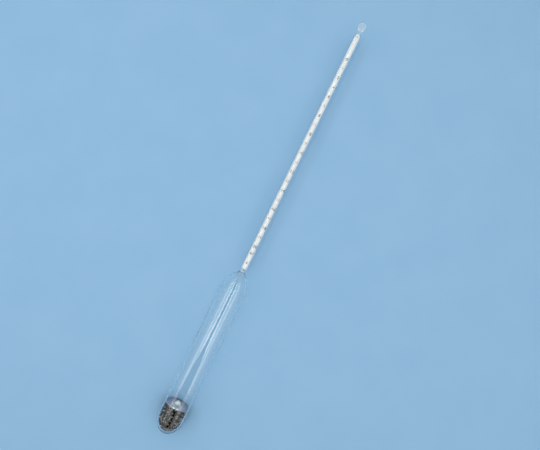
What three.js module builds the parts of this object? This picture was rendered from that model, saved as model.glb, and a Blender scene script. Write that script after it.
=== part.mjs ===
// A glass hydrometer lying on its side, in millimetres, +Z up.
// The float's axis runs along X: the weighted end points to -X and the tip of the stem to +X.
// The origin is under the middle of the instrument, on the surface that it lies on.
//
// The float is a thin glass bulb with shot in its rounded end, held down by a wax seal. A narrow
// stem is fused to the bulb's shoulder. A rolled paper scale stands in the stem, held at each end
// by a dab of adhesive, and a glass button closes the stem.
//
// "Station" is the distance along the axis from the bulb's rounded end.

import * as THREE from 'three';
import { mergeVertices } from 'three/addons/utils/BufferGeometryUtils.js';

// Driving dimensions, in millimetres
const OVERALL_LENGTH = 330;
const BULB_RADIUS = 9.8;
const BULB_WALL = 0.9;
const BULB_BOTTOM_WALL = 1.2;
const BOTTOM_DOME_LENGTH = 12.4;
const SHOULDER_START = 111;
const SHOULDER_LENGTH = 18;
const BULB_SEAM = 130;

const STEM_RADIUS = 2.55;
const STEM_WALL = 0.35;
const TIP_SEAM = 320;
const NECK_FILLET = 1.8;
const NECK_FILLET_RUN = 1;

const TIP_NECK_RADIUS = 1.72;
const TIP_NECK_START = 322.6;
const TIP_BORE_END = 321.8;
const BUTTON_RADIUS = 2.9;
const BUTTON_START = 326.4;

const SCALE_RADIUS = 2;
const SCALE_THICKNESS = 0.2;
const SCALE_BOTTOM = 132;
const SCALE_TOP = 319.6;

const BOND_RADIUS = 1.9;
const BOND_LENGTH = 1.5;

const SHOT_TOP = 21.6;
const SEAL_TOP = 22.6;
const SEAL_MENISCUS = 0.5;
const SEAL_MOUND_RADIUS = 2.2;
const SEAL_MOUND_HEIGHT = 2.4;

// Clearance left between pieces that touch on the real instrument
const GAP = 0.3;
const SEGMENTS = 16;

const bulbBore = BULB_RADIUS - BULB_WALL;
const stemBore = STEM_RADIUS - STEM_WALL;
const bottomBoreLength = BOTTOM_DOME_LENGTH - BULB_BOTTOM_WALL;
const chargeRadius = bulbBore - GAP;
const chargeDomeLength = bottomBoreLength - GAP;

const glass = { color: 0xd6ebf0, roughness: 0.05, metalness: 0 };
const MATERIALS = {
  float_bulb: glass,
  stem_tube: glass,
  tip_button: glass,
  scale_sheet: { color: 0xf3f4ee, roughness: 0.85, metalness: 0 },
  scale_bond_upper: { color: 0xdfe9e6, roughness: 0.45, metalness: 0 },
  scale_bond_lower: { color: 0xdfe9e6, roughness: 0.45, metalness: 0 },
  ballast_shot: { color: 0x4b4744, roughness: 0.35, metalness: 0.9 },
  ballast_seal: { color: 0x9a9cb8, roughness: 0.4, metalness: 0 },
};

// A point of a lathe profile: how far from the axis, and at which station
const at = (radius, station) => new THREE.Vector2(radius, station);

// Part of an ellipse centred on the axis. Its angle is 0 at the widest point, +90 degrees at the
// end of the axis nearer the tip and -90 degrees at the end nearer the shot.
function dome(centre, radius, length, fromDegrees, toDegrees, steps) {
  const points = [];
  for (let i = 0; i <= steps; i += 1) {
    const angle = THREE.MathUtils.degToRad(THREE.MathUtils.lerp(fromDegrees, toDegrees, i / steps));
    points.push(at(Math.max(radius * Math.cos(angle), 0), centre + length * Math.sin(angle)));
  }
  return points;
}

// The concave curve that leads from the shoulder's dome into the neck. It starts on the dome,
// NECK_FILLET outside the neck's radius, and leaves both along their tangents.
function neckFillet(radius, length, neckRadius) {
  const start = Math.acos((neckRadius + NECK_FILLET) / radius);
  const from = at(neckRadius + NECK_FILLET, SHOULDER_START + length * Math.sin(start));
  const slope = (length * Math.cos(start)) / (radius * Math.sin(start));
  const corner = at(neckRadius, from.y + NECK_FILLET * slope);
  const to = at(neckRadius, corner.y + NECK_FILLET_RUN);
  const curve = new THREE.QuadraticBezierCurve(from, corner, to).getPoints(5);
  return { startDegrees: THREE.MathUtils.radToDeg(start), curve };
}

// One wall of the bulb, from the rounded end to the seam with the stem
function bulbWall(radius, bottomLength, shoulderLength, neckRadius) {
  const fillet = neckFillet(radius, shoulderLength, neckRadius);
  return [
    ...dome(BOTTOM_DOME_LENGTH, radius, bottomLength, -90, 0, 9),
    ...dome(SHOULDER_START, radius, shoulderLength, 0, fillet.startDegrees, 9),
    ...fillet.curve.slice(1),
    at(neckRadius, BULB_SEAM - GAP / 2),
  ];
}

function floatBulb() {
  const outside = bulbWall(BULB_RADIUS, BOTTOM_DOME_LENGTH, SHOULDER_LENGTH, STEM_RADIUS);
  const inside = bulbWall(bulbBore, bottomBoreLength, SHOULDER_LENGTH - BULB_WALL, stemBore);
  return [...outside, ...inside.reverse()];
}

// A plain tube between two stations
function tube(outerRadius, innerRadius, from, to) {
  return [
    at(outerRadius, from),
    at(outerRadius, to),
    at(innerRadius, to),
    at(innerRadius, from),
    at(outerRadius, from),
  ];
}

// The stem is drawn in to a solid neck, which ends in a round button
function tipButton() {
  const seam = TIP_SEAM + GAP / 2;
  const buttonHalf = (OVERALL_LENGTH - BUTTON_START) / 2;
  const neckToStem = new THREE.CubicBezierCurve(
    at(STEM_RADIUS, seam + GAP),
    at(STEM_RADIUS, seam + GAP * 4),
    at(TIP_NECK_RADIUS, TIP_NECK_START - GAP * 4),
    at(TIP_NECK_RADIUS, TIP_NECK_START),
  ).getPoints(5);
  const neckMeetsButton = THREE.MathUtils.radToDeg(Math.acos(TIP_NECK_RADIUS / BUTTON_RADIUS));
  return [
    ...dome(seam, stemBore, TIP_BORE_END - seam, 90, 0, 5),
    at(STEM_RADIUS, seam),
    ...neckToStem,
    ...dome(BUTTON_START + buttonHalf, BUTTON_RADIUS, buttonHalf, -neckMeetsButton, 90, 10),
  ];
}

// A dab of adhesive, flat on the side of the paper and domed on the other
const upperBond = () => [
  at(0, SCALE_TOP + GAP),
  ...dome(SCALE_TOP + GAP, BOND_RADIUS, BOND_LENGTH, 0, 90, 5),
];
const lowerBond = () => [
  ...dome(SCALE_BOTTOM - GAP, BOND_RADIUS, BOND_LENGTH, -90, 0, 5),
  at(0, SCALE_BOTTOM - GAP),
];

// The outer shape of the charge of shot
const ballastShot = () => [
  ...dome(BOTTOM_DOME_LENGTH, chargeRadius, chargeDomeLength, -90, 0, 8),
  at(chargeRadius, SHOT_TOP),
  at(0, SHOT_TOP),
];

// The wax climbs a little where it meets the glass, and stands in a low mound in the middle
function ballastSeal() {
  const climb = new THREE.QuadraticBezierCurve(
    at(chargeRadius, SEAL_TOP + SEAL_MENISCUS),
    at(chargeRadius - SEAL_MENISCUS, SEAL_TOP),
    at(chargeRadius - SEAL_MENISCUS * 2.5, SEAL_TOP),
  ).getPoints(4);
  return [
    at(0, SHOT_TOP + GAP),
    at(chargeRadius, SHOT_TOP + GAP),
    ...climb,
    ...dome(SEAL_TOP, SEAL_MOUND_RADIUS, SEAL_MOUND_HEIGHT, 0, 90, 5),
  ];
}

const PROFILES = {
  float_bulb: floatBulb(),
  stem_tube: tube(STEM_RADIUS, stemBore, BULB_SEAM + GAP / 2, TIP_SEAM - GAP / 2),
  tip_button: tipButton(),
  scale_sheet: tube(SCALE_RADIUS, SCALE_RADIUS - SCALE_THICKNESS, SCALE_BOTTOM, SCALE_TOP),
  scale_bond_upper: upperBond(),
  scale_bond_lower: lowerBond(),
  ballast_shot: ballastShot(),
  ballast_seal: ballastSeal(),
};

// Turns a profile about the axis. The flats of the faceted body lie on the true radius, and one
// of them faces down, so that the bulb rests on a flat and the axis is BULB_RADIUS above it.
function turned(name, profile) {
  const flatToCorner = 1 / Math.cos(Math.PI / SEGMENTS);
  const corners = profile.map((point) => at(point.x * flatToCorner, point.y));
  const halfStep = Math.PI / SEGMENTS;
  const lathe = new THREE.LatheGeometry(corners, SEGMENTS, halfStep);
  lathe.deleteAttribute('normal');
  lathe.deleteAttribute('uv');
  const solid = mergeVertices(lathe);
  solid.computeVertexNormals();
  const mesh = new THREE.Mesh(solid, new THREE.MeshStandardMaterial(MATERIALS[name]));
  mesh.name = name;
  return mesh;
}

const instrument = new THREE.Group();
for (const [name, profile] of Object.entries(PROFILES)) {
  instrument.add(turned(name, profile));
}

// The lathe's axis is Y, and the instrument lies along X
instrument.rotation.z = -Math.PI / 2;
instrument.position.set(-OVERALL_LENGTH / 2, 0, BULB_RADIUS);

export default instrument;
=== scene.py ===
"""The looks of a glass hydrometer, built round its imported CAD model.

Lengths are in metres. The float's axis runs along X, with the weighted end at -X and the tip of
the stem at +X. "Station" is the distance along the axis from the weighted end, and an angle round
the axis is 0 at the top and grows towards +Y.
"""

import math

import bmesh
import bpy
import numpy as np
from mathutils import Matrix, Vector
from mathutils.kdtree import KDTree


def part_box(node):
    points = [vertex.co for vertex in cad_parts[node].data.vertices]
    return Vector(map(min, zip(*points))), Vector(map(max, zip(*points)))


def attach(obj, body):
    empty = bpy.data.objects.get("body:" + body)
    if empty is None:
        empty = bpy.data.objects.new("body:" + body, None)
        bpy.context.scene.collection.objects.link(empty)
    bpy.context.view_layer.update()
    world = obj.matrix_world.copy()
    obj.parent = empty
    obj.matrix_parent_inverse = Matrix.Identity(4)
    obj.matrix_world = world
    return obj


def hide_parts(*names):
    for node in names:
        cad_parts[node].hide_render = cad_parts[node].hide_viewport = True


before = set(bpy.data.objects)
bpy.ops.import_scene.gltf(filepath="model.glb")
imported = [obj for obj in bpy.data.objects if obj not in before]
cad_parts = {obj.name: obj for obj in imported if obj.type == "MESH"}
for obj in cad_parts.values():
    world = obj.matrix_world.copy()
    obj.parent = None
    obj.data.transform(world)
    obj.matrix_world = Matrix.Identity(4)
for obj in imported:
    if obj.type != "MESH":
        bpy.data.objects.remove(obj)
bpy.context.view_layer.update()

MM = 0.001

# Sizes and places that the CAD model gives

bulb_low, bulb_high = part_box("float_bulb")
stem_low, stem_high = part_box("stem_tube")
tip_low, tip_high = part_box("tip_button")
paper_low, paper_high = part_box("scale_sheet")
upper_low, upper_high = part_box("scale_bond_upper")
lower_low, lower_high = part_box("scale_bond_lower")
_, shot_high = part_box("ballast_shot")
seal_low, seal_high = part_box("ballast_seal")

AXIS_Y = (bulb_low.y + bulb_high.y) / 2
AXIS_Z = (bulb_low.z + bulb_high.z) / 2


def radius_of(low, high):
    return (high.y - low.y) / 2


def station_of(x):
    return x - bulb_low.x


LENGTH = station_of(tip_high.x)
BULB_RADIUS = radius_of(bulb_low, bulb_high)
STEM_RADIUS = radius_of(stem_low, stem_high)
BUTTON_RADIUS = radius_of(tip_low, tip_high)
PAPER_RADIUS = radius_of(paper_low, paper_high)
PAPER_BOTTOM = station_of(paper_low.x)
PAPER_TOP = station_of(paper_high.x)
BULB_SEAM = (station_of(bulb_high.x) + station_of(stem_low.x)) / 2
TIP_SEAM = (station_of(stem_high.x) + station_of(tip_low.x)) / 2
SHOT_TOP = station_of(shot_high.x)

# Sizes that the CAD model's boxes don't give

BULB_WALL = 0.9 * MM
BULB_BOTTOM_WALL = 1.2 * MM
BOTTOM_DOME = 12.4 * MM
SHOULDER_START = 111 * MM
SHOULDER_LENGTH = 18 * MM
STEM_WALL = 0.35 * MM
NECK_FILLET = 1.8 * MM
NECK_FILLET_RUN = 1 * MM
TIP_NECK_RADIUS = 1.72 * MM
TIP_NECK_START = 322.6 * MM
TIP_BORE_END = 321.8 * MM
BUTTON_START = 326.4 * MM
BULB_BORE = BULB_RADIUS - BULB_WALL
STEM_BORE = STEM_RADIUS - STEM_WALL
BOTTOM_BORE = BOTTOM_DOME - BULB_BOTTOM_WALL

GLASS_SEGMENTS = 96
OUTSIDE_WAVES = 0.012 * MM
INSIDE_WAVES = 0.02 * MM
DRAW_IN = 1.1 * MM
DIMPLE_DEPTH = 0.25 * MM

# The glass's roughness where it was melted in a flame
SEAM_ROUGHNESS = 0.26
TIP_ROUGHNESS = 0.32


# Mesh helpers


def around(station, radius, angle):
    """The point at that station, that far from the axis and at that angle round it."""
    return (
        bulb_low.x + station,
        AXIS_Y + radius * math.sin(angle),
        AXIS_Z + radius * math.cos(angle),
    )


def mesh_object(name, points, faces, smooth=True):
    mesh = bpy.data.meshes.new(name)
    mesh.from_pydata([tuple(p) for p in points], [], faces)
    mesh.validate()
    mesh.update()
    if smooth:
        mesh.shade_smooth()
    piece = bpy.data.objects.new(name, mesh)
    bpy.context.scene.collection.objects.link(piece)
    return piece


def add_piece(piece, material, slot, *nodes):
    """Gives a piece its material; the slot is not used. It rides on the body and stands for those
    nodes.
    """
    piece.data.materials.append(material)
    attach(piece, "root")
    if nodes:
        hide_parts(*nodes)
    return piece


def turned(profile, segments, wobble=None):
    """Points and faces of a profile of (station, radius) turned about the axis, from pole to pole.

    A profile that runs towards the tip faces out, and one that runs back faces the axis.
    """
    points, faces, rings = [], [], []
    for station, radius in profile:
        if radius < 1e-9:
            rings.append([len(points)] * segments)
            points.append(around(station, 0, 0))
            continue
        rings.append(list(range(len(points), len(points) + segments)))
        for i in range(segments):
            angle = 2 * math.pi * i / segments
            extra = wobble(station, angle) if wobble else 0
            points.append(around(station, radius + extra, angle))
    for low, high in zip(rings, rings[1:]):
        for i in range(segments):
            j = (i + 1) % segments
            corners = [low[i], high[i], high[j], low[j]]
            faces.append(tuple(dict.fromkeys(corners)))
    return points, faces


def joined(*parts):
    """Several (points, faces) as one."""
    points, faces = [], []
    for part_points, part_faces in parts:
        first = len(points)
        points.extend(part_points)
        faces.extend(tuple(first + i for i in face) for face in part_faces)
    return points, faces


def dome(centre, radius, length, start, end, steps):
    """Part of an ellipse on the axis. 0 is its widest point and 90 degrees its end nearer the tip."""
    profile = []
    for i in range(steps + 1):
        angle = math.radians(start + (end - start) * i / steps)
        profile.append((centre + length * math.sin(angle), max(radius * math.cos(angle), 0)))
    return profile


def straight(start, end, radius, step):
    """Evenly spaced profile points between two stations, without the ends."""
    steps = max(2, round(abs(end - start) / step))
    return [(start + (end - start) * i / steps, radius) for i in range(1, steps)]


def bezier(controls, steps):
    """Profile points on a Bezier curve of any degree."""
    degree = len(controls) - 1
    profile = []
    for i in range(steps + 1):
        t = i / steps
        weights = [math.comb(degree, k) * t**k * (1 - t) ** (degree - k) for k in range(degree + 1)]
        profile.append(tuple(sum(w * c[axis] for w, c in zip(weights, controls)) for axis in (0, 1)))
    return profile


# Node helpers


class Nodes:
    """A new material's node tree, with short calls for what the materials here share."""

    def __init__(self, name):
        self.material = bpy.data.materials.new(name)
        self.material.use_nodes = True
        self.tree = self.material.node_tree
        self.shader = self.tree.nodes["Principled BSDF"]
        self.output = self.tree.nodes["Material Output"]

    def add(self, kind, settings=None, **inputs):
        node = self.tree.nodes.new(kind)
        for key, value in (settings or {}).items():
            setattr(node, key, value)
        for key, value in inputs.items():
            self.feed(node.inputs[key.replace("_", " ")], value)
        return node

    def feed(self, socket, value):
        if isinstance(value, bpy.types.NodeSocket):
            self.tree.links.new(value, socket)
        else:
            socket.default_value = value

    def surface(self, **inputs):
        for key, value in inputs.items():
            self.feed(self.shader.inputs[key.replace("_", " ")], value)

    def coordinates(self, scale=(1, 1, 1)):
        texture = self.add("ShaderNodeTexCoord")
        mapping = self.add("ShaderNodeMapping", Vector=texture.outputs["Object"], Scale=scale)
        return mapping.outputs["Vector"]

    def noise(self, vector, scale, detail=3.0, roughness=0.5):
        node = self.add(
            "ShaderNodeTexNoise", Vector=vector, Scale=scale, Detail=detail, Roughness=roughness
        )
        return node.outputs["Fac"]

    def ramp(self, factor, stops):
        """Colours or greys by factor. Each stop is (place, colour)."""
        node = self.add("ShaderNodeValToRGB", Fac=factor)
        elements = node.color_ramp.elements
        while len(elements) < len(stops):
            elements.new(0.5)
        for element, (place, colour) in zip(elements, stops):
            element.position = place
            element.color = (*colour, 1) if len(colour) == 3 else colour
        return node.outputs["Color"]

    def bump(self, height, strength, distance):
        node = self.add("ShaderNodeBump", Height=height, Strength=strength, Distance=distance)
        self.surface(Normal=node.outputs["Normal"])


def grey(value):
    return (value, value, value)


# Glass


def bulb_wall(radius, bottom, shoulder, neck):
    """One surface of the bulb, from its rounded end into the neck, clear of the seam."""
    start = math.acos((neck + NECK_FILLET) / radius)
    fillet_from = (SHOULDER_START + shoulder * math.sin(start), neck + NECK_FILLET)
    slope = shoulder * math.cos(start) / (radius * math.sin(start))
    corner = (fillet_from[0] + NECK_FILLET * slope, neck)
    fillet_to = (corner[0] + NECK_FILLET_RUN, neck)
    return [
        *dome(BOTTOM_DOME, radius, bottom, -90, 0, 28),
        *straight(BOTTOM_DOME, SHOULDER_START, radius, 2.5 * MM),
        *dome(SHOULDER_START, radius, shoulder, 0, math.degrees(start), 28),
        *bezier([fillet_from, corner, fillet_to], 10)[1:],
    ]


def tip_outside():
    """The stem is drawn in to a solid neck, and the end is melted into a round button."""
    half = (LENGTH - BUTTON_START) / 2
    centre = BUTTON_START + half
    neck = [
        (TIP_SEAM, STEM_RADIUS),
        (TIP_SEAM + DRAW_IN, STEM_RADIUS),
        (TIP_NECK_START - DRAW_IN, TIP_NECK_RADIUS),
        (TIP_NECK_START, TIP_NECK_RADIUS),
    ]
    flare = [
        (TIP_NECK_START + 0.7 * MM, TIP_NECK_RADIUS),
        (BUTTON_START - 0.4 * MM, TIP_NECK_RADIUS),
        (BUTTON_START - 0.2 * MM, BUTTON_RADIUS * 0.97),
        (centre, BUTTON_RADIUS),
    ]
    crown = [
        (centre, BUTTON_RADIUS),
        (centre + half * 0.75, BUTTON_RADIUS),
        (LENGTH, BUTTON_RADIUS * 0.72),
        (LENGTH, BUTTON_RADIUS * 0.3),
    ]
    dimple = [
        (LENGTH, BUTTON_RADIUS * 0.3),
        (LENGTH, BUTTON_RADIUS * 0.15),
        (LENGTH - DIMPLE_DEPTH, BUTTON_RADIUS * 0.12),
        (LENGTH - DIMPLE_DEPTH, 0),
    ]
    return [
        *bezier(neck, 14),
        *bezier(flare, 14),
        *bezier(crown, 12)[1:],
        *bezier(dimple, 6)[1:],
    ]


def hand_blown(phase, size):
    """Slow waves in the glass. They fade out on the stem, which is drawn and so is truer."""

    def wobble(station, angle):
        fade = 1 if station < SHOULDER_START else 0.15
        waves = math.sin(2 * angle + 34 * station + phase)
        waves += 0.6 * math.sin(3 * angle - 71 * station + 2 * phase)
        return size * fade * waves

    return wobble


def glass_envelope():
    """Bulb, stem and tip, fused into one body of glass: an outer skin and an inner one."""
    outside = [
        *bulb_wall(BULB_RADIUS, BOTTOM_DOME, SHOULDER_LENGTH, STEM_RADIUS),
        *straight(BULB_SEAM, TIP_SEAM, STEM_RADIUS, 6 * MM),
        *tip_outside(),
    ]
    inside = [
        *bulb_wall(BULB_BORE, BOTTOM_BORE, SHOULDER_LENGTH - BULB_WALL, STEM_BORE),
        *straight(BULB_SEAM, TIP_SEAM, STEM_BORE, 6 * MM),
        *dome(TIP_SEAM, STEM_BORE, TIP_BORE_END - TIP_SEAM, 0, 90, 10),
    ]
    skins = joined(
        turned(outside, GLASS_SEGMENTS, hand_blown(0.4, OUTSIDE_WAVES)),
        turned(inside[::-1], GLASS_SEGMENTS, hand_blown(2.1, INSIDE_WAVES)),
    )
    return mesh_object("glass_envelope", *skins)


def clear_glass():
    """Clear glass with faint drawing streaks, a little cloudy where it was melted in a flame.

    Lamplight goes straight through it to what it holds, and less of it at the glass's edges.
    """
    n = Nodes("clear_glass")
    n.surface(Base_Color=(0.975, 0.995, 1, 1), IOR=1.5, Transmission_Weight=1.0)
    texture = n.add("ShaderNodeTexCoord")
    split = n.add("ShaderNodeSeparateXYZ", Vector=texture.outputs["Object"])
    share = n.add("ShaderNodeMapRange", Value=split.outputs["X"])
    n.feed(share.inputs["From Min"], bulb_low.x)
    n.feed(share.inputs["From Max"], tip_high.x)
    cloudiness = [
        (BULB_SEAM - 4.2 * MM, 0),
        (BULB_SEAM - 2.6 * MM, SEAM_ROUGHNESS),
        (BULB_SEAM - 1.2 * MM, SEAM_ROUGHNESS),
        (BULB_SEAM + 0.4 * MM, 0),
        (TIP_BORE_END, 0),
        (TIP_NECK_START + 1 * MM, TIP_ROUGHNESS),
    ]
    stops = [(station / LENGTH, grey(value)) for station, value in cloudiness]
    n.surface(Roughness=n.ramp(share.outputs["Result"], stops))
    streaks = n.noise(n.coordinates((12, 260, 260)), 1.0, 2.0)
    n.bump(streaks, 0.06, 0.05 * MM)
    edge = n.add("ShaderNodeLayerWeight", Blend=0.35).outputs["Facing"]
    tints = [(0.0, (0.93, 0.95, 0.96)), (0.55, (0.86, 0.92, 0.95)), (1.0, (0.3, 0.42, 0.5))]
    shade = n.ramp(edge, tints)
    see_through = n.add("ShaderNodeBsdfTransparent", Color=shade)
    path = n.add("ShaderNodeLightPath")
    mix = n.add("ShaderNodeMixShader", Fac=path.outputs["Is Shadow Ray"])
    n.feed(mix.inputs[1], n.shader.outputs["BSDF"])
    n.feed(mix.inputs[2], see_through.outputs["BSDF"])
    n.feed(n.output.inputs["Surface"], mix.outputs["Shader"])
    return n.material


glass = add_piece(
    glass_envelope(), clear_glass(), "bulb_glass", "float_bulb", "stem_tube", "tip_button"
)
glass.visible_diffuse = False


# The paper scale

PAPER_THICKNESS = 0.1 * MM
PAPER_OVERLAP = math.radians(40)
PAPER_SEAM = math.radians(196)
PAPER_SLACK = 0.012 * MM
LAP_CLEARANCE = 0.02 * MM
INK_LOW = 0.004 * MM
INK_HIGH = 0.024 * MM

SCALE_UNITS = 20
STEPS_PER_UNIT = 5
ZERO_MARK = PAPER_TOP - 18.4 * MM
UNIT = 7.555 * MM
NUMBERS_AT = math.radians(-14)
MARKS_FROM = math.radians(34)
MARK_ARCS = {"even": math.radians(78), "odd": math.radians(56), "step": math.radians(38)}
MARK_WIDTHS = {"even": 0.32 * MM, "odd": 0.26 * MM, "step": 0.18 * MM}
EVEN_FIGURE = 2.3 * MM
ODD_FIGURE = 1.7 * MM
DOT_RADIUS = 0.65 * MM
REFERENCE_AT = PAPER_BOTTOM + 12.6 * MM
DOT_AT = PAPER_BOTTOM + 5.1 * MM

# A figure's height as a share of the font's size, how much thicker than the font's its lines
# are, as a share of its height, and the widest strip of it that stays flat
FIGURE_SHARE = 0.72
LINE_SPREAD = 0.03
STRIP_WIDTH = 0.22 * MM
MERGE_WITHIN = 0.001 * MM


def slack(station, angle):
    """How far the paper lies inside its true radius, as it is not rolled quite evenly."""
    return PAPER_SLACK * (1 + math.sin(83 * station + 2 * angle))


def on_paper(station, angle, height):
    return around(station, PAPER_RADIUS - slack(station, angle) + height, angle)


def paper_roll():
    """A sheet rolled into a tube: its section is one turn and the overlap of a tight spiral."""
    steps = 64
    sweep = 2 * math.pi + PAPER_OVERLAP
    inner_lap = PAPER_RADIUS - 2 * PAPER_THICKNESS - LAP_CLEARANCE
    outline = []
    for i in range(steps + 1):
        along = i / steps
        lap = min(1, max(0, (along * sweep) / (2 * PAPER_OVERLAP)))
        rise = lap * lap * (3 - 2 * lap)
        inside = inner_lap + (PAPER_RADIUS - PAPER_THICKNESS - inner_lap) * rise
        outline.append((PAPER_SEAM + along * sweep, inside))
    section = [(angle, r + PAPER_THICKNESS) for angle, r in outline]
    section += [(angle, r) for angle, r in reversed(outline)]
    rows = 76
    count = len(section)
    points, faces = [], []
    for row in range(rows + 1):
        station = PAPER_BOTTOM + (PAPER_TOP - PAPER_BOTTOM) * row / rows
        points += [around(station, r - slack(station, angle), angle) for angle, r in section]
    for row in range(rows):
        for i in range(count):
            j = (i + 1) % count
            low, high = row * count, (row + 1) * count
            faces.append((low + i, high + i, high + j, low + j))
    half = count // 2
    for first, flip in ((0, False), (rows * count, True)):
        for i in range(half - 1):
            cap = (first + i, first + i + 1, first + count - 2 - i, first + count - 1 - i)
            faces.append(cap[::-1] if flip else cap)
    return mesh_object("scale_sheet_roll", points, faces)


def ink_bar(station, width, angle, arc):
    """A thin bar of ink round part of the paper."""
    steps = max(2, round(math.degrees(arc) / 6))
    half = width / 2
    corners = [(-half, INK_LOW), (-half, INK_HIGH), (half, INK_HIGH), (half, INK_LOW)]
    points, faces = [], []
    for i in range(steps + 1):
        points += [on_paper(station + dx, angle + arc * i / steps, r) for dx, r in corners]
    for i in range(steps):
        for k in range(4):
            a, b = 4 * i + k, 4 * i + (k + 1) % 4
            faces.append((a, a + 4, b + 4, b))
    last = 4 * steps
    faces += [(0, 1, 2, 3), (last + 3, last + 2, last + 1, last)]
    return points, faces


def graduations():
    """A mark for each fifth of a unit, longer at each odd unit and longest at each even one."""
    bars = []
    for step in range(SCALE_UNITS * STEPS_PER_UNIT + 1):
        kind = "step"
        if step % STEPS_PER_UNIT == 0:
            kind = "even" if step % (2 * STEPS_PER_UNIT) == 0 else "odd"
        station = ZERO_MARK - UNIT * step / STEPS_PER_UNIT
        bars.append(ink_bar(station, MARK_WIDTHS[kind], MARKS_FROM, MARK_ARCS[kind]))
    return mesh_object("scale_graduations", *joined(*bars), smooth=False)


def wrapped_text(text, height, station, angle):
    """Points and faces of a line of figures, wrapped on the paper with its top towards the tip."""
    curve = bpy.data.curves.new("figures", "FONT")
    curve.body = text
    curve.size = height / FIGURE_SHARE
    curve.align_x = "CENTER"
    curve.align_y = "CENTER"
    curve.extrude = (INK_HIGH - INK_LOW) / 2
    curve.offset = LINE_SPREAD * height
    curve.resolution_u = 6
    holder = bpy.data.objects.new("figures", curve)
    bpy.context.scene.collection.objects.link(holder)
    bpy.context.view_layer.update()
    mesh = bpy.data.meshes.new_from_object(holder)
    bpy.data.objects.remove(holder)
    shape = bmesh.new()
    shape.from_mesh(mesh)
    bmesh.ops.remove_doubles(shape, verts=shape.verts, dist=MERGE_WITHIN)
    reach = max(abs(v.co.x) for v in shape.verts)
    cut = -reach
    while cut < reach:
        everything = shape.verts[:] + shape.edges[:] + shape.faces[:]
        bmesh.ops.bisect_plane(shape, geom=everything, plane_co=(cut, 0, 0), plane_no=(1, 0, 0))
        cut += STRIP_WIDTH
    points = []
    for v in shape.verts:
        turn = angle - v.co.x / PAPER_RADIUS
        points.append(on_paper(station + v.co.y, turn, (INK_LOW + INK_HIGH) / 2 + v.co.z))
    faces = [tuple(v.index for v in face.verts) for face in shape.faces]
    shape.free()
    bpy.data.meshes.remove(mesh)
    return points, faces


def figures(name, numbers, height):
    parts = []
    for number in numbers:
        parts.append(wrapped_text(str(number), height, ZERO_MARK - UNIT * number, NUMBERS_AT))
    return mesh_object(name, *joined(*parts), smooth=False)


def printed_dot(station, angle, radius, steps=24, rings=5):
    """A small disc of ink that follows the paper: rings of points out, over the edge and back in."""
    levels = [(INK_LOW, radius * i / rings) for i in range(1, rings + 1)]
    levels += [(INK_HIGH, radius * i / rings) for i in range(rings, 0, -1)]
    points = []
    for height, reach in levels:
        for i in range(steps):
            a = 2 * math.pi * i / steps
            turn = angle + reach * math.cos(a) / PAPER_RADIUS
            points.append(on_paper(station + reach * math.sin(a), turn, height))
    faces = [tuple(range(steps)), tuple(range(len(points) - steps, len(points)))[::-1]]
    for first in range(0, len(points) - steps, steps):
        for i in range(steps):
            j = (i + 1) % steps
            faces.append((first + j, first + i, first + steps + i, first + steps + j))
    return points, faces


def paper():
    n = Nodes("scale_paper")
    fibres = n.noise(n.coordinates((900, 2600, 2600)), 1.0, 5.0, 0.65)
    clouds = n.noise(n.coordinates((40, 300, 300)), 1.0, 2.0)
    tone = n.ramp(clouds, [(0.3, (0.84, 0.86, 0.84)), (0.7, (0.92, 0.93, 0.92))])
    fleck = n.ramp(fibres, [(0.35, (0.93, 0.93, 0.92)), (0.6, (1, 1, 1))])
    mixed = n.add("ShaderNodeMix", {"data_type": "RGBA", "blend_type": "MULTIPLY"})
    n.feed(mixed.inputs["Factor"], 1.0)
    n.feed(mixed.inputs[6], tone)
    n.feed(mixed.inputs[7], fleck)
    n.surface(Base_Color=mixed.outputs[2], Roughness=0.72, IOR=1.45)
    n.bump(fibres, 0.25, 0.02 * MM)
    return n.material


def ink(name, dark, light):
    """Printing ink, a little uneven in how dark it lies."""
    n = Nodes(name)
    patches = n.noise(n.coordinates((1500, 1500, 1500)), 1.0, 3.0)
    n.surface(Base_Color=n.ramp(patches, [(0.35, dark), (0.7, light)]), Roughness=0.45)
    return n.material


black_ink = ink("black_ink", (0.035, 0.034, 0.036), (0.12, 0.115, 0.115))
red_ink = ink("red_ink", (0.22, 0.018, 0.012), (0.36, 0.05, 0.035))

add_piece(paper_roll(), paper(), "scale_paper", "scale_sheet")
add_piece(graduations(), black_ink, "scale_paper")
even_numbers, odd_numbers = range(0, SCALE_UNITS + 1, 2), range(1, SCALE_UNITS, 2)
add_piece(figures("scale_figures_even", even_numbers, EVEN_FIGURE), black_ink, "scale_paper")
add_piece(figures("scale_figures_odd", odd_numbers, ODD_FIGURE), red_ink, "scale_paper")
reference = wrapped_text("20°", ODD_FIGURE, REFERENCE_AT, NUMBERS_AT)
add_piece(mesh_object("reference_figure", *reference, smooth=False), black_ink, "scale_paper")
dot = printed_dot(DOT_AT, 0, DOT_RADIUS)
add_piece(mesh_object("datum_dot", *dot, smooth=False), red_ink, "scale_paper")


# The drops of adhesive that hold the paper's ends

BOND_GAP = 0.03 * MM
BOND_UNEVENNESS = 0.05 * MM

# The power of the sine that shapes a drop's end: the smaller it is, the flatter the end
ROUND_END = 0.55
FLAT_END = 0.1


def adhesive_drop(name, start, end, radius, phase, first_end=ROUND_END):
    """A dab that has run round the bore and set, uneven round its edge."""
    middle, half = (start + end) / 2, (end - start) / 2
    steps = 20
    profile = [(start, 0)]
    for i in range(1, steps):
        angle = math.pi * i / steps
        bluntness = first_end if i < steps / 2 else ROUND_END
        profile.append((middle - half * math.cos(angle), radius * math.sin(angle) ** bluntness))
    profile.append((end, 0))

    def uneven(station, angle):
        edge = 1 - ((station - middle) / half) ** 2
        waves = math.sin(3 * angle + phase) + 0.6 * math.sin(5 * angle - 2 * phase)
        return -BOND_UNEVENNESS * edge * (1.6 - waves)

    return mesh_object(name, *turned(profile, 40, uneven))


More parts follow.
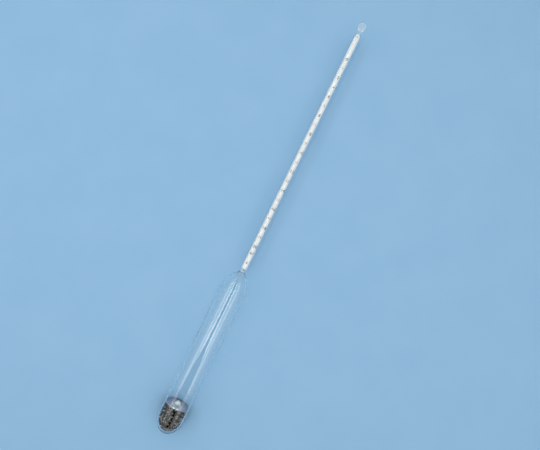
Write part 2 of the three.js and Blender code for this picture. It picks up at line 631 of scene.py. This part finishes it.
def adhesive(name, clearness):
    """Set adhesive with a few cloudy patches, from milky (0) to clear (1)."""
    n = Nodes(name)
    clouds = n.noise(n.coordinates((900, 900, 900)), 1.0, 3.0)
    n.surface(
        Base_Color=n.ramp(clouds, [(0.3, (0.86, 0.9, 0.88)), (0.7, (0.97, 0.97, 0.93))]),
        Roughness=0.4 - 0.3 * clearness,
        IOR=1.46,
        Transmission_Weight=clearness,
    )
    n.bump(clouds, 0.3, 0.05 * MM)
    return n.material


bond_radius = radius_of(upper_low, upper_high)
upper_start, upper_end = PAPER_TOP + BOND_GAP, station_of(upper_high.x)
lower_start, lower_end = station_of(lower_low.x), station_of(lower_high.x)
upper_drop = adhesive_drop("bond_upper", upper_start, upper_end, bond_radius, 0.7, FLAT_END)
lower_drop = adhesive_drop("bond_lower", lower_start, lower_end, bond_radius, 2.9)
add_piece(upper_drop, adhesive("milky_adhesive", 0.1), "adhesive", "scale_bond_upper")
add_piece(lower_drop, adhesive("clear_adhesive", 0.92), "adhesive", "scale_bond_lower")


# The shot

BALL_RADIUS = 0.7 * MM
BALL_COUNT = 1660
BALL_CLEARANCE = 0.02 * MM
BALL_SPREAD = 0.025
SHOT_LEVEL = SHOT_TOP + 0.4 * MM
POUR_FROM = 6 * MM
POUR_STEPS = 400
SETTLE_STEPS = 140
STEPS_BETWEEN_SEARCHES = 10
SINK_PER_STEP = 0.045 * MM
SHAKE = 0.02 * MM

# A ball further out than this share of the bore shows through the glass
NEAR_GLASS = 0.78


def keep_in_bulb(places, radii):
    """Moves each ball that is through the glass or above the shot's level back inside."""
    bore = BULB_BORE - radii - BALL_CLEARANCE
    depth = BOTTOM_BORE - radii - BALL_CLEARANCE
    places[:, 0] = np.minimum(places[:, 0], SHOT_LEVEL - radii)
    off_axis = np.maximum(np.hypot(places[:, 1], places[:, 2]), 1e-9)
    shrink = np.minimum(1, bore / off_axis)
    places[:, 1:] *= shrink[:, None]
    below = np.minimum(places[:, 0] - BOTTOM_DOME, 0)
    reach = np.sqrt((below / depth) ** 2 + (np.hypot(places[:, 1], places[:, 2]) / bore) ** 2)
    outside = (below < 0) & (reach > 1)
    places[outside, 0] = BOTTOM_DOME + below[outside] / reach[outside]
    places[outside, 1:] /= reach[outside, None]


def near_pairs(places):
    """The pairs of balls that could touch before the next search, as two lists of indices."""
    tree = KDTree(len(places))
    for i, place in enumerate(places):
        tree.insert(place, i)
    tree.balance()
    pairs = []
    for i, place in enumerate(places):
        pairs += [(i, j) for _, j, _ in tree.find_range(place, 3 * BALL_RADIUS) if j > i]
    return np.array(pairs).T


def poured_shot():
    """Where the balls of shot lie, as (station, two offsets from the axis), and their radii.

    They start scattered in the bulb's end, sink towards its bottom, and push each other apart.
    """
    random = np.random.default_rng(7)
    radii = BALL_RADIUS * (1 + BALL_SPREAD * random.standard_normal(BALL_COUNT).clip(-2, 2))
    places = random.uniform(-1, 1, (BALL_COUNT, 3)) * BULB_BORE
    places[:, 0] = random.uniform(BULB_BOTTOM_WALL, SHOT_LEVEL + POUR_FROM, BALL_COUNT)
    for step in range(POUR_STEPS + SETTLE_STEPS):
        if step % STEPS_BETWEEN_SEARCHES == 0:
            first, second = near_pairs(places)
        if step < POUR_STEPS:
            calm = 1 - step / POUR_STEPS
            places[:, 0] -= SINK_PER_STEP * calm
            places += random.normal(0, SHAKE * calm, places.shape)
        gap = places[second] - places[first]
        distance = np.maximum(np.linalg.norm(gap, axis=1), 1e-9)
        overlap = np.maximum(radii[first] + radii[second] - distance, 0)
        push = gap * (0.5 * overlap / distance)[:, None]
        np.add.at(places, first, -push)
        np.add.at(places, second, push)
        keep_in_bulb(places, radii)
    return places, radii


def unit_ball(subdivisions):
    shape = bmesh.new()
    bmesh.ops.create_icosphere(shape, subdivisions=subdivisions, radius=1)
    points = np.array([v.co for v in shape.verts])
    faces = [tuple(v.index for v in face.verts) for face in shape.faces]
    shape.free()
    return points, faces


def shot_balls():
    """The balls as one mesh. Those against the glass and the seal show, and have finer meshes."""
    places, radii = poured_shot()
    random = np.random.default_rng(11)
    fine, coarse = unit_ball(2), unit_ball(1)
    parts = []
    for place, radius in zip(places, radii):
        off_axis = math.hypot(place[1], place[2])
        below = min(place[0] - BOTTOM_DOME, 0)
        reach = math.hypot(off_axis / BULB_BORE, below / BOTTOM_BORE)
        shown = reach > NEAR_GLASS or place[0] > SHOT_LEVEL - 3 * BALL_RADIUS
        points, faces = fine if shown else coarse
        turn, _ = np.linalg.qr(random.normal(size=(3, 3)))
        if np.linalg.det(turn) < 0:
            turn = -turn
        centre = np.array([bulb_low.x + place[0], AXIS_Y + place[1], AXIS_Z + place[2]])
        parts.append((points @ turn.T * radius + centre, faces))
    return mesh_object("ballast_shot_balls", *joined(*parts))


def shot_steel():
    """Steel shot with a rust-brown film. About two in three balls are near black, the rest painted
    bright as glints.
    """
    n = Nodes("steel_shot")
    geometry = n.add("ShaderNodeNewGeometry")
    # Painted glints: about one ball in three gets a bright colour that stands in for its highlight; the
    # rest are near black.
    tone = n.ramp(
        geometry.outputs["Random Per Island"],
        [
            (0.0, (0.003, 0.003, 0.004)),
            (0.64, (0.006, 0.006, 0.006)),
            (0.68, (0.27, 0.265, 0.255)),
            (1.0, (0.44, 0.43, 0.415)),
        ],
    )
    film = n.noise(n.coordinates((1300, 1300, 1300)), 1.0, 4.0, 0.6)
    stain = n.ramp(film, [(0.42, (1, 1, 1)), (0.7, (0.6, 0.46, 0.36))])
    mixed = n.add("ShaderNodeMix", {"data_type": "RGBA", "blend_type": "MULTIPLY"})
    n.feed(mixed.inputs["Factor"], 1.0)
    n.feed(mixed.inputs[6], tone)
    n.feed(mixed.inputs[7], stain)
    n.surface(Base_Color=mixed.outputs[2], Metallic=1.0)
    n.surface(Roughness=n.ramp(film, [(0.3, grey(0.3)), (0.8, grey(0.46))]))
    n.bump(film, 0.25, 0.03 * MM)
    return n.material


add_piece(shot_balls(), shot_steel(), "steel_shot", "ballast_shot")


# The seal over the shot

SEAL_GAP = 0.05 * MM
SEAL_BOTTOM = station_of(seal_low.x)
SEAL_PEAK = station_of(seal_high.x)
SEAL_LEVEL = 22.6 * MM
SEAL_SAG = 0.12 * MM
MENISCUS = 0.5 * MM
MENISCUS_WIDTH = 0.55 * MM
MOUND_RADIUS = 2.2 * MM
MOUND_SINK = 0.35 * MM

# Waves in the wax and the cement, in radians per metre
WAX_WAVES = 900

# The two white drops at the rim, painted highlights where the rim shows two glints: where they are
# round it, and half their width
HIGHLIGHT_DROPS = [(math.radians(7), 0.8 * MM), (math.radians(-9.5), 0.9 * MM)]
DROP_AT = SEAL_LEVEL + 0.15 * MM
DROP_HALF_LENGTH = 0.65 * MM
DROP_DEPTH = 0.5 * MM
DROP_FILM = 0.02 * MM
DROP_GAP = 0.045 * MM


def lumpy(phase, size):
    """The uneven surface of what was poured by hand."""

    def wobble(station, angle):
        waves = math.sin(3 * angle + phase)
        waves += 0.7 * math.sin(7 * angle + WAX_WAVES * station + 2 * phase)
        return size * waves

    return wobble


def seal_disc():
    """Wax poured on the shot: a disc that climbs the glass in a thin meniscus."""
    wall = BULB_BORE - SEAL_GAP
    profile = [(SEAL_BOTTOM, 0)]
    profile += [(SEAL_BOTTOM, wall * i / 8) for i in range(1, 8)]
    edge = SEAL_BOTTOM + 0.3 * MM
    profile += [(SEAL_BOTTOM + 0.08 * MM, wall - 0.06 * MM), (edge, wall)]
    profile += straight(edge, SEAL_LEVEL + MENISCUS, wall, 0.4 * MM)
    rim = wall - 0.03 * MM
    steps = 22
    for i in range(steps + 1):
        radius = rim - rim * (i / steps) ** 1.5
        climb = MENISCUS * math.exp((radius - wall) / MENISCUS_WIDTH)
        sag = SEAL_SAG * math.cos(radius * WAX_WAVES)
        profile.append((SEAL_LEVEL + climb + sag * (1 - climb / MENISCUS), max(radius, 0)))
    return mesh_object("seal_disc", *turned(profile, 96, lumpy(1.3, 0.012 * MM)))


def seal_mound():
    """A last blob of cement in the middle of the wax, set as a low uneven dome."""
    height = SEAL_PEAK - SEAL_LEVEL
    foot = SEAL_LEVEL - MOUND_SINK
    profile = [(foot, 0), (foot, MOUND_RADIUS * 0.7)]
    steps = 14
    for i in range(steps + 1):
        angle = math.pi / 2 * i / steps
        radius = MOUND_RADIUS * math.cos(angle) ** 0.8
        profile.append((SEAL_LEVEL - 0.1 * MM + (height + 0.1 * MM) * math.sin(angle), radius))
    profile[-1] = (profile[-1][0], 0)
    return mesh_object("seal_mound", *turned(profile, 48, lumpy(0.2, 0.09 * MM)))


def seal_drops():
    """Two white drops at the top of the rim, between the wax and the glass: painted highlights, matte
    white where the rim shows two glints.
    """
    drops = []
    for middle, half_width in HIGHLIGHT_DROPS:
        points, faces = unit_ball(3)
        placed = []
        for along, across, out in points:
            lump = 1 + 0.08 * math.sin(5 * across + 40 * half_width / MM) * math.cos(4 * along)
            angle = middle + half_width * across * lump / BULB_BORE
            thickness = DROP_FILM if out > 0 else DROP_DEPTH
            radius = BULB_BORE - DROP_GAP + thickness * out
            placed.append(around(DROP_AT + DROP_HALF_LENGTH * along, radius, angle))
        drops.append((placed, faces))
    return mesh_object("seal_drops", *joined(*drops))


def wax():
    """Cloudy sealing wax that lets some light through, palest near a point a little above the axis and
    darker and bluer further from it.
    """
    n = Nodes("seal_wax")
    clouds = n.noise(n.coordinates((260, 260, 260)), 1.0, 4.0, 0.6)
    grains = n.noise(n.coordinates((1800, 1800, 1800)), 1.0, 2.0)
    texture = n.add("ShaderNodeTexCoord")
    palest_point = (bulb_low.x + SEAL_LEVEL, AXIS_Y, AXIS_Z + 3.5 * MM)
    offset = n.add("ShaderNodeVectorMath", {"operation": "SUBTRACT"})
    n.feed(offset.inputs[0], texture.outputs["Object"])
    n.feed(offset.inputs[1], palest_point)
    reach = n.add("ShaderNodeVectorMath", {"operation": "LENGTH"})
    n.feed(reach.inputs[0], offset.outputs["Vector"])
    share_per_metre, share_at_middle, cloud_share = 80.0, -0.25, 0.5
    spread = n.add("ShaderNodeMath", {"operation": "MULTIPLY_ADD"})
    n.feed(spread.inputs[0], reach.outputs["Value"])
    n.feed(spread.inputs[1], share_per_metre)
    n.feed(spread.inputs[2], share_at_middle)
    place = n.add("ShaderNodeMath", {"operation": "MULTIPLY_ADD"})
    n.feed(place.inputs[0], clouds)
    n.feed(place.inputs[1], cloud_share)
    n.feed(place.inputs[2], spread.outputs["Value"])
    tones = [(0.25, (0.76, 0.77, 0.82)), (0.55, (0.36, 0.41, 0.53)), (0.85, (0.15, 0.23, 0.38))]
    n.surface(
        Base_Color=n.ramp(place.outputs["Value"], tones),
        Roughness=0.16,
        Transmission_Weight=0.4,
        IOR=1.44,
        Subsurface_Weight=0.5,
        Subsurface_Scale=1.2 * MM,
        Subsurface_Radius=(0.8, 0.8, 1.0),
    )
    n.bump(grains, 0.2, 0.04 * MM)
    return n.material


def cement():
    """Chalky, pitted white cement, which also paints the two highlights at the rim."""
    n = Nodes("seal_cement_and_highlights")
    pits = n.noise(n.coordinates((1500, 1500, 1500)), 1.0, 5.0, 0.65)
    n.surface(
        Base_Color=n.ramp(pits, [(0.3, (0.7, 0.72, 0.72)), (0.65, (0.9, 0.92, 0.93))]),
        Roughness=0.38,
        Subsurface_Weight=0.3,
        Subsurface_Scale=0.6 * MM,
    )
    n.bump(pits, 0.5, 0.08 * MM)
    return n.material


cement_and_highlight_white = cement()
add_piece(seal_disc(), wax(), "seal_wax", "ballast_seal")
add_piece(seal_mound(), cement_and_highlight_white, "seal_wax")
# The drops are painted highlights: matte white where the rim shows two glints.
add_piece(seal_drops(), cement_and_highlight_white, "seal_wax")


# Floor, lights and camera

FLOOR_REACH = 40
LIGHT_HEIGHT = 0.6
ROOM_STRENGTH = 2.1
SOFTBOX_STRENGTH = 3.15
FAR_SOFTBOX_STRENGTH = 3.1
END_SOFTBOX_STRENGTH = 1.5
INNER_TUBE_STRENGTH = 14.5
INNER_TUBE_WIDTH = 0.06
OUTER_TUBE_STRENGTH = 6.2
OUTER_TUBE_WIDTH = 0.1

# Corners of a softbox's outline as (x, distance from the middle), from its near end to its far one
SOFTBOX = [
    (0.4, 0.7),
    (0.4, 0.12),
    (-0.235, 0.125),
    (-0.285, 0.19),
    (-0.322, 0.255),
    (-0.4, 0.38),
    (-0.41, 0.4),
    (-0.41, 0.7),
]

# The softboxes beyond the weighted end: their two ends in x, and how far across each reaches
FAR_SOFTBOX_ENDS = (-0.412, -0.65)
FAR_SOFTBOXES = {"left": (0.02, 0.88), "right": (-0.25, -0.9)}

# The softbox beyond the tip and the flag, each as its ends in x and its sides in y
END_SOFTBOX = ((0.5, 0.95), (-0.4, 0.4))
FLAG = ((-0.39, -1.2), (0.02, -0.2))

# Points of the strips of light that make the bright streaks along the bulb
INNER_TUBE = [(0.4, 0.14), (-0.235, 0.145), (-0.285, 0.235)]
OUTER_TUBE = [(0.9, 0.55), (-0.9, 0.55)]

# The lens and its sensor are in millimetres
LENS = 31.2
SENSOR_WIDTH = 36
CAMERA_AT = (0.00406, -0.00315, 0.3504)
CAMERA_TURN = math.radians(-63.9)
EXPOSURE = -1.5


def floor():
    """A large plain sheet of pale blue card, which gets paler away from the object."""
    n = Nodes("pale_card")
    mottle = n.noise(n.coordinates((30, 30, 30)), 1.0, 2.0)
    near = n.ramp(mottle, [(0.3, (0.26, 0.47, 0.685)), (0.7, (0.275, 0.485, 0.7))])
    texture = n.add("ShaderNodeTexCoord")
    reach = n.add("ShaderNodeVectorMath", {"operation": "LENGTH"})
    n.feed(reach.inputs[0], texture.outputs["Object"])
    far = n.add("ShaderNodeMapRange", Value=reach.outputs["Value"], From_Min=0.7, From_Max=2.2)
    mixed = n.add("ShaderNodeMix", {"data_type": "RGBA"})
    n.feed(mixed.inputs["Factor"], far.outputs["Result"])
    n.feed(mixed.inputs[6], near)
    palest = (0.42, 0.72, 0.93, 1)
    n.feed(mixed.inputs[7], palest)
    n.surface(Base_Color=mixed.outputs[2], Roughness=0.85)
    points = [(-FLOOR_REACH, -FLOOR_REACH, 0), (FLOOR_REACH, -FLOOR_REACH, 0)]
    points += [(FLOOR_REACH, FLOOR_REACH, 0), (-FLOOR_REACH, FLOOR_REACH, 0)]
    sheet = mesh_object("floor", points, [(0, 1, 2, 3)], smooth=False)
    sheet.data.materials.append(n.material)


def panel(name, corners, strength, drop=0.0):
    """A flat light of any outline, which faces down. The camera doesn't see it."""
    n = Nodes(name)
    glow = n.add("ShaderNodeEmission", Strength=strength)
    n.feed(n.output.inputs["Surface"], glow.outputs["Emission"])
    points = [(x, y, LIGHT_HEIGHT + AXIS_Z - drop) for x, y in corners]
    light = mesh_object(name, points, [tuple(range(len(points)))], smooth=False)
    light.data.materials.append(n.material)
    light.visible_camera = False


def tube_light(name, line, width, strength):
    """Straight strips of light from point to point, a little under the softboxes."""
    for i, (start, end) in enumerate(zip(line, line[1:])):
        start, end = Vector(start), Vector(end)
        along = end - start
        across = Vector((-along.y, along.x)).normalized() * width / 2
        corners = [start - across, end - across, end + across, start + across]
        panel(f"{name}_{i}", corners, strength, drop=0.005)


def room():
    """The soft light of a room, with brighter walls and a dim ceiling."""
    world = bpy.data.worlds.new("soft_room")
    world.use_nodes = True
    tree = world.node_tree
    direction = tree.nodes.new("ShaderNodeTexCoord")
    split = tree.nodes.new("ShaderNodeSeparateXYZ")
    ramp = tree.nodes.new("ShaderNodeValToRGB")
    tree.links.new(direction.outputs["Generated"], split.inputs["Vector"])
    tree.links.new(split.outputs["Z"], ramp.inputs["Fac"])
    tree.links.new(ramp.outputs["Color"], tree.nodes["Background"].inputs["Color"])
    tree.nodes["Background"].inputs["Strength"].default_value = ROOM_STRENGTH
    stops = [(0.0, 0.5), (0.3, 0.72), (0.5, 1.0), (0.68, 0.8), (0.82, 0.4), (1.0, 0.3)]
    elements = ramp.color_ramp.elements
    while len(elements) < len(stops):
        elements.new(0.5)
    for element, (place, level) in zip(elements, stops):
        element.position = place
        element.color = (level * 0.93, level * 0.97, level, 1)
    bpy.context.scene.world = world


def rectangle(x_ends, y_ends):
    (near_x, far_x), (near_y, far_y) = x_ends, y_ends
    return [(near_x, near_y), (near_x, far_y), (far_x, far_y), (far_x, near_y)]


def studio():
    """Softboxes and strips of light on both sides, with a black flag that darkens the shot's middle."""
    for side, name, share in ((1, "left", 1.1), (-1, "right", 0.9)):
        softbox = [(x, side * y) for x, y in SOFTBOX]
        inner = [(x, side * y) for x, y in INNER_TUBE]
        outer = [(x, side * y) for x, y in OUTER_TUBE]
        panel(f"softbox_{name}", softbox, SOFTBOX_STRENGTH * share)
        tube_light(f"inner_tube_{name}", inner, INNER_TUBE_WIDTH, INNER_TUBE_STRENGTH * share)
        tube_light(f"outer_tube_{name}", outer, OUTER_TUBE_WIDTH, OUTER_TUBE_STRENGTH * share)
    for name, across in FAR_SOFTBOXES.items():
        corners = rectangle(FAR_SOFTBOX_ENDS, across)
        panel(f"far_softbox_{name}", corners, FAR_SOFTBOX_STRENGTH)
    panel("end_softbox", rectangle(*END_SOFTBOX), END_SOFTBOX_STRENGTH)
    panel("flag", rectangle(*FLAG), 0.0)


def camera():
    """Looks straight down, turned so that the instrument lies across the picture as in the photo."""
    lens = bpy.data.cameras.new("camera")
    lens.lens = LENS
    lens.sensor_width = SENSOR_WIDTH
    lens.clip_start = 0.01
    lens.clip_end = 100
    view = bpy.data.objects.new("camera", lens)
    view.location = CAMERA_AT
    view.rotation_euler = (0, 0, CAMERA_TURN)
    bpy.context.scene.collection.objects.link(view)
    bpy.context.scene.camera = view


def picture_tones():
    """A plain tone curve, exposed so that the paper is just under white."""
    settings = bpy.context.scene.view_settings
    settings.view_transform = "Standard"
    settings.exposure = EXPOSURE


floor()
room()
studio()
camera()
picture_tones()
